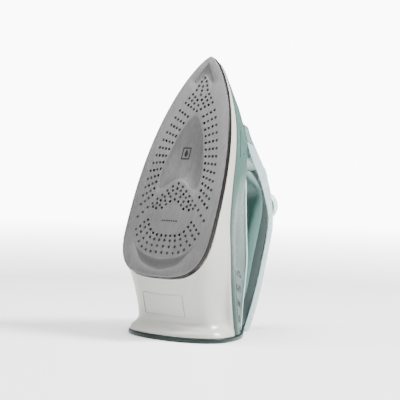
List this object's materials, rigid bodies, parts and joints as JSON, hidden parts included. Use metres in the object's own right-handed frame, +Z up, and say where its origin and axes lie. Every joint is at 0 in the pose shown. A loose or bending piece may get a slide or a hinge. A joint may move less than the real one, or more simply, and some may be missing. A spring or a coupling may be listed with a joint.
{
  "type": "steam iron",
  "caption": "Steam iron standing on its heel, with a vented steel soleplate, translucent water tank, open handle, temperature dial, buttons and fill door.",
  "frame": {"origin": "on the underside of the heel plate, 62 mm behind the rear edge of the sole", "axes": "+Z up from the heel to the tip, X across the iron, the sole faces -Y and leans back"},
  "size_m": [0.122, 0.1755, 0.2838],
  "materials": {
    "brushed_face": "brushed, satin",
    "casting": "as cast",
    "bright_steel": "bright",
    "white_plastic": "satin moulded",
    "green_plastic": "satin moulded",
    "dark_green": "fine moulded grain",
    "pale_cover": "satin moulded",
    "clear_green": "translucent",
    "knob": "satin moulded",
    "black_plastic": "moulded",
    "circuit_board": "solder mask",
    "rubber": "soft",
    "amber_lens": "clear moulded"
  },
  "bodies": {
    "body": {"soleplate_face": "brushed_face", "soleplate_casting": "casting", "heating_element": "bright_steel", "steam_chamber_cover": "bright_steel", "thermostat": "bright_steel", "fill_door_pin": "bright_steel", "chamber_screw_1": "bright_steel", "chamber_screw_2": "bright_steel", "chamber_screw_3": "bright_steel", "chamber_screw_4": "bright_steel", "casting_screw_1": "bright_steel", "casting_screw_2": "bright_steel", "casting_screw_3": "bright_steel", "board_screw_1": "bright_steel", "board_screw_2": "bright_steel", "heel_screw_1": "bright_steel", "heel_screw_2": "bright_steel", "heel_screw_3": "bright_steel", "skirt": "white_plastic", "fill_funnel": "white_plastic", "spray_pump": "white_plastic", "steam_pump": "white_plastic", "thermal_fuse": "white_plastic", "heel_bracket": "white_plastic", "heel_plate": "green_plastic", "cord_socket": "green_plastic", "handle_lower": "dark_green", "dial_collar": "dark_green", "spray_nozzle": "dark_green", "handle_cover": "pale_cover", "water_tank": "clear_green", "heat_shield": "black_plastic", "rotary_selector": "black_plastic", "terminal_block": "black_plastic", "control_board": "circuit_board", "valve_seat": "rubber", "spray_hose": "rubber", "indicator_lens": "amber_lens", "indicator_lamp": "amber_lens"},
    "dial": {"temperature_dial": "knob", "dial_shaft": "bright_steel"},
    "spray_button": {"spray_button": "knob", "spray_spring": "bright_steel"},
    "steam_burst_button": {"steam_burst_button": "knob", "steam_spring": "bright_steel"},
    "steam_slider": {"steam_slider": "knob"},
    "valve_needle": {"valve_needle": "bright_steel"},
    "fill_door": {"fill_door": "white_plastic"},
    "cord_swivel": {"cord_swivel": "black_plastic"}
  },
  "joints": [
    {"name": "dial_turn", "type": "hinge", "parent": "body", "child": "dial", "pos_m": [0, 0.10117, 0.13021], "axis": [0, 0.9898, 0.1426], "range_deg": [0, 270]},
    {"name": "spray_press", "type": "slide", "parent": "body", "child": "spray_button", "axis": [0, -0.8854, -0.4648], "range_m": [0, 0.003], "stiffness_N_per_m": 400, "springref_m": -0.003},
    {"name": "steam_burst_press", "type": "slide", "parent": "body", "child": "steam_burst_button", "axis": [0, -0.8854, -0.4648], "range_m": [0, 0.003], "stiffness_N_per_m": 400, "springref_m": -0.003},
    {"name": "steam_slide", "type": "slide", "parent": "body", "child": "steam_slider", "axis": [1, 0, 0], "range_m": [-0.006, 0.006]},
    {"name": "needle_lift", "type": "slide", "parent": "body", "child": "valve_needle", "axis": [0, 0.9494, -0.314], "range_m": [-0.0013, 0.0013]},
    {"name": "fill_door_hinge", "type": "hinge", "parent": "body", "child": "fill_door", "pos_m": [0, 0.06044, 0.2131], "axis": [1, 0, 0], "range_deg": [0, 95]},
    {"name": "cord_swivel_turn", "type": "hinge", "parent": "body", "child": "cord_swivel", "pos_m": [0, 0.0725, 0.01963], "axis": [1, 0, 0], "range_deg": [-12, 12]}
  ],
  "couplings": [
    {"joint": "needle_lift", "follows": "steam_slide", "ratio": 0.2}
  ]
}
